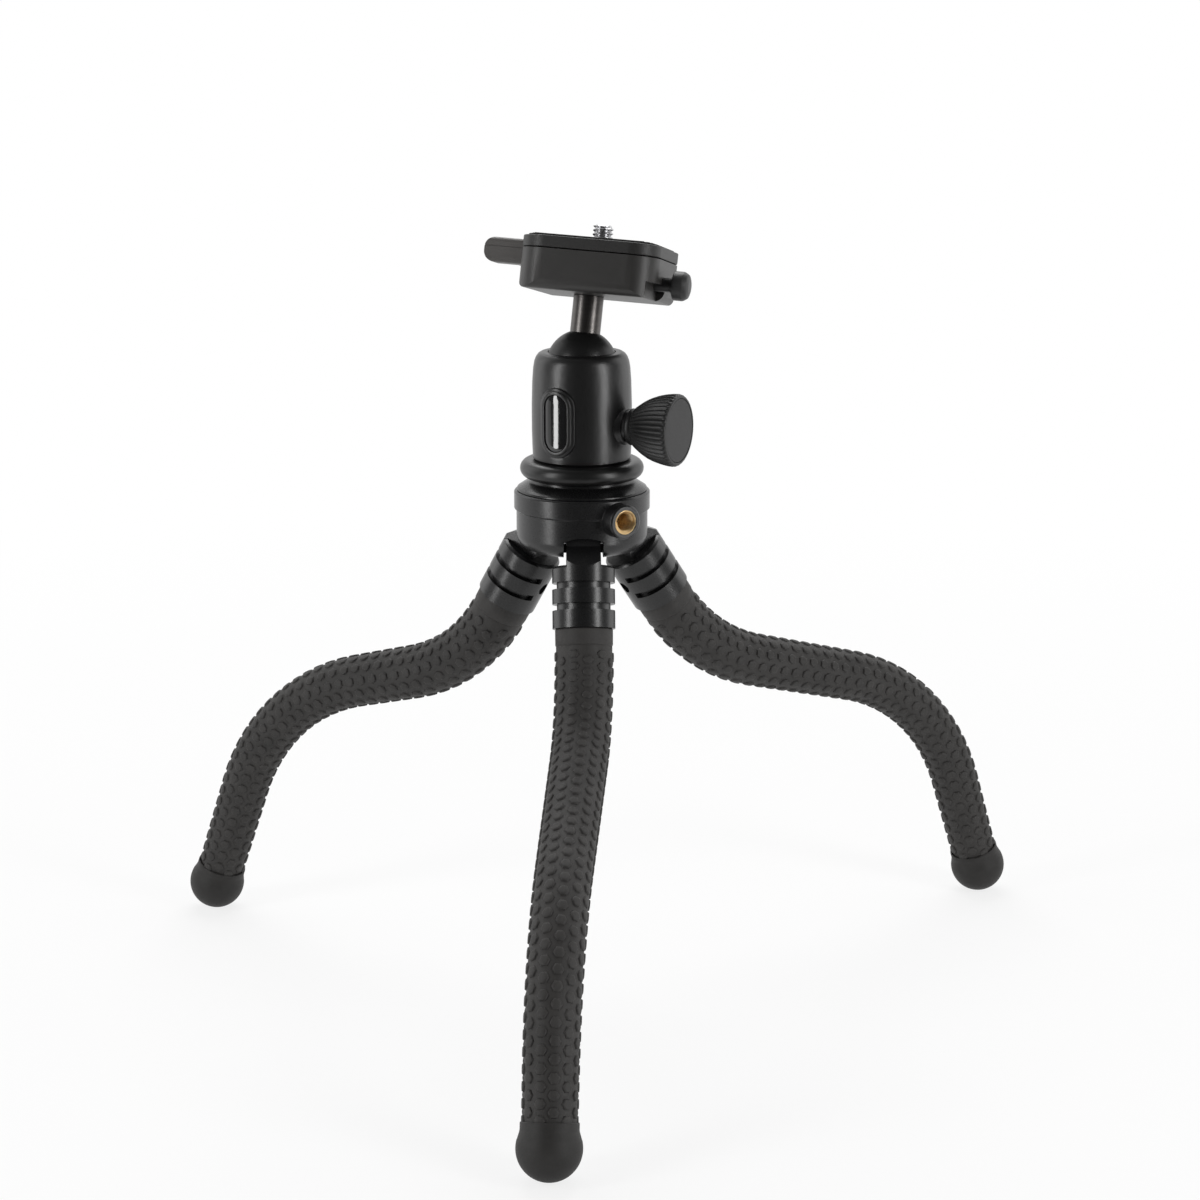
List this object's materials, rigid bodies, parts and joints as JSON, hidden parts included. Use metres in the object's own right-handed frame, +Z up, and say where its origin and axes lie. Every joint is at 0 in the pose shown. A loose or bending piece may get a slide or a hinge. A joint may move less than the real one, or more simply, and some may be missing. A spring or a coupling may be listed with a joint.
{
  "type": "flexible leg tripod",
  "caption": "Table-top camera tripod with bendable rubber-sleeved legs hinged to a round collar, a lockable ball head and a quick-release camera clamp.",
  "frame": {"origin": "point on the floor under the centre line of the collar and ball housing", "axes": "+Z up; the front leg points to -Y; +X is to the right seen from the front"},
  "size_m": [0.2835, 0.2499, 0.2417],
  "materials": {
    "black_plastic": "black moulded plastic, low gloss",
    "cap_plastic": "black moulded plastic, glossy chamfer",
    "ring_plastic": "black ring, satin",
    "socket_plastic": "black moulded plastic, low gloss",
    "sleeve_rubber": "matte charcoal rubber with raised hexagons",
    "foot_rubber": "matte charcoal rubber",
    "black_metal": "satin black metal",
    "gloss_inlay": "gloss black",
    "ball_black": "matte black coated ball",
    "gunmetal": "dark polished metal",
    "knob_rubber": "black ribbed grip",
    "knob_face": "plain black face",
    "clamp_plastic": "satin dark grey plastic",
    "plate_plastic": "satin dark grey plastic",
    "lever_plastic": "black plastic",
    "button_plastic": "black plastic",
    "pad_rubber": "ribbed black pad",
    "brass": "turned brass",
    "steel": "plain steel",
    "black_steel": "blackened steel",
    "nylon": "natural nylon",
    "core_aluminium": "soft aluminium wire"
  },
  "bodies": {
    "column": {"collar_body": "black_plastic", "collar_cap": "cap_plastic", "accessory_insert": "brass", "hip_pins": "steel", "centre_bolt": "black_steel", "base_ring": "ring_plastic", "ball_housing": "black_metal", "housing_inlay": "gloss_inlay"},
    "brake_screw": {"knob_screw": "steel"},
    "brake_knob": {"lock_knob": "knob_rubber", "knob_cap": "knob_face"},
    "plunger": {"pressure_plunger": "brass"},
    "seat": {"ball_seat": "nylon"},
    "ball": {"ball": "ball_black"},
    "head": {"head_stem": "gunmetal", "clamp_body": "clamp_plastic", "clamp_screw": "black_steel", "lever_pin": "steel", "button_spring": "steel"},
    "lever": {"release_lever": "lever_plastic"},
    "button": {"safety_button": "button_plastic"},
    "plate": {"camera_plate": "plate_plastic", "plate_pad": "pad_rubber"},
    "stud": {"camera_screw": "steel"},
    "front_root": {"front_socket": "socket_plastic", "front_socket_screw": "black_steel", "front_sleeve_upper": "sleeve_rubber", "front_core": "core_aluminium"},
    "front_mid": {"front_sleeve_middle": "sleeve_rubber"},
    "front_tip": {"front_sleeve_lower": "sleeve_rubber", "front_foot": "foot_rubber"},
    "right_root": {"right_socket": "socket_plastic", "right_socket_screw": "black_steel", "right_sleeve_upper": "sleeve_rubber", "right_core": "core_aluminium"},
    "right_mid": {"right_sleeve_middle": "sleeve_rubber"},
    "right_tip": {"right_sleeve_lower": "sleeve_rubber", "right_foot": "foot_rubber"},
    "left_root": {"left_socket": "socket_plastic", "left_socket_screw": "black_steel", "left_sleeve_upper": "sleeve_rubber", "left_core": "core_aluminium"},
    "left_mid": {"left_sleeve_middle": "sleeve_rubber"},
    "left_tip": {"left_sleeve_lower": "sleeve_rubber", "left_foot": "foot_rubber"}
  },
  "joints": [
    {"name": "front_hip", "type": "hinge", "parent": "column", "child": "front_root", "pos_m": [0, -0.014, 0.1476], "axis": [-1, 0, 0], "range_deg": [-15.6, 19.4]},
    {"name": "front_upper_bend", "type": "hinge", "parent": "front_root", "child": "front_mid", "pos_m": [-0.00062, -0.03437, 0.09884], "axis": [-0.9907, 0.1286, -0.0433], "range_deg": [-48, 30], "deforming": ["front_core"]},
    {"name": "front_lower_bend", "type": "hinge", "parent": "front_mid", "child": "front_tip", "pos_m": [-0.01058, -0.12518, 0.05258], "axis": [0.9928, -0.1188, 0.0167], "range_deg": [-45, 30], "deforming": ["front_core"]},
    {"name": "right_hip", "type": "hinge", "parent": "column", "child": "right_root", "pos_m": [0.01212, 0.007, 0.1476], "axis": [0.5, -0.866, 0], "range_deg": [-32, 3]},
    {"name": "right_upper_bend", "type": "hinge", "parent": "right_root", "child": "right_mid", "pos_m": [0.04042, 0.02334, 0.10579], "axis": [0.5, -0.866, 0], "range_deg": [-37.5, 30], "deforming": ["right_core"]},
    {"name": "right_lower_bend", "type": "hinge", "parent": "right_mid", "child": "right_tip", "pos_m": [0.11551, 0.06669, 0.0699], "axis": [-0.5, 0.866, 0], "range_deg": [-48, 30], "deforming": ["right_core"]},
    {"name": "left_hip", "type": "hinge", "parent": "column", "child": "left_root", "pos_m": [-0.01212, 0.007, 0.1476], "axis": [0.5, 0.866, 0], "range_deg": [-27, 8]},
    {"name": "left_upper_bend", "type": "hinge", "parent": "left_root", "child": "left_mid", "pos_m": [-0.03747, 0.02163, 0.10345], "axis": [0.5, 0.866, 0], "range_deg": [-43, 30], "deforming": ["left_core"]},
    {"name": "left_lower_bend", "type": "hinge", "parent": "left_mid", "child": "left_tip", "pos_m": [-0.09716, 0.05609, 0.07273], "axis": [-0.5, -0.866, 0], "range_deg": [-48, 30], "deforming": ["left_core"]},
    {"name": "knob_turn", "type": "hinge", "parent": "brake_screw", "child": "brake_knob", "pos_m": [0.02649, -0.01408, 0.1814], "axis": [0.8829, -0.4695, 0], "range_deg": [0, 460]},
    {"name": "screw_travel", "type": "slide", "parent": "column", "child": "brake_screw", "axis": [0.8829, -0.4695, 0], "range_m": [0, 0.001]},
    {"name": "plunger_travel", "type": "slide", "parent": "column", "child": "plunger", "axis": [0, 0, -1], "range_m": [0, 0.0004]},
    {"name": "ball_swing", "type": "hinge", "parent": "column", "child": "seat", "pos_m": [0, 0, 0.1991], "axis": [0, 0, 1], "continuous": true},
    {"name": "ball_tilt", "type": "hinge", "parent": "seat", "child": "ball", "pos_m": [0, 0, 0.1991], "axis": [-0.8536, 0.521, 0], "range_deg": [-50, 26]},
    {"name": "ball_spin", "type": "hinge", "parent": "ball", "child": "head", "pos_m": [0, 0, 0.1991], "axis": [0.1083, 0.1775, 0.9781], "continuous": true},
    {"name": "lever_swing", "type": "hinge", "parent": "head", "child": "lever", "pos_m": [-0.00816, 0.01485, 0.19731], "axis": [-0.1083, -0.1775, -0.9781], "range_deg": [0, 55], "stiffness_Nm_per_rad": 0.05, "springref_deg": -17.19},
    {"name": "button_press", "type": "slide", "parent": "head", "child": "button", "axis": [-0.9535, 0.297, 0.0517], "range_m": [0, 0.002], "stiffness_N_per_m": 400, "springref_m": -0.002, "deforming": ["button_spring"]},
    {"name": "plate_lift", "type": "slide", "parent": "head", "child": "plate", "axis": [0.1083, 0.1775, 0.9781], "range_m": [0, 0.008]},
    {"name": "stud_spin", "type": "hinge", "parent": "plate", "child": "stud", "pos_m": [0.00641, 0.00605, 0.23624], "axis": [0.1083, 0.1775, 0.9781], "continuous": true}
  ],
  "couplings": [
    {"joint": "knob_turn", "follows": "screw_travel", "rad_per_m": 7854},
    {"joint": "plunger_travel", "follows": "screw_travel", "ratio": 0.36397}
  ]
}
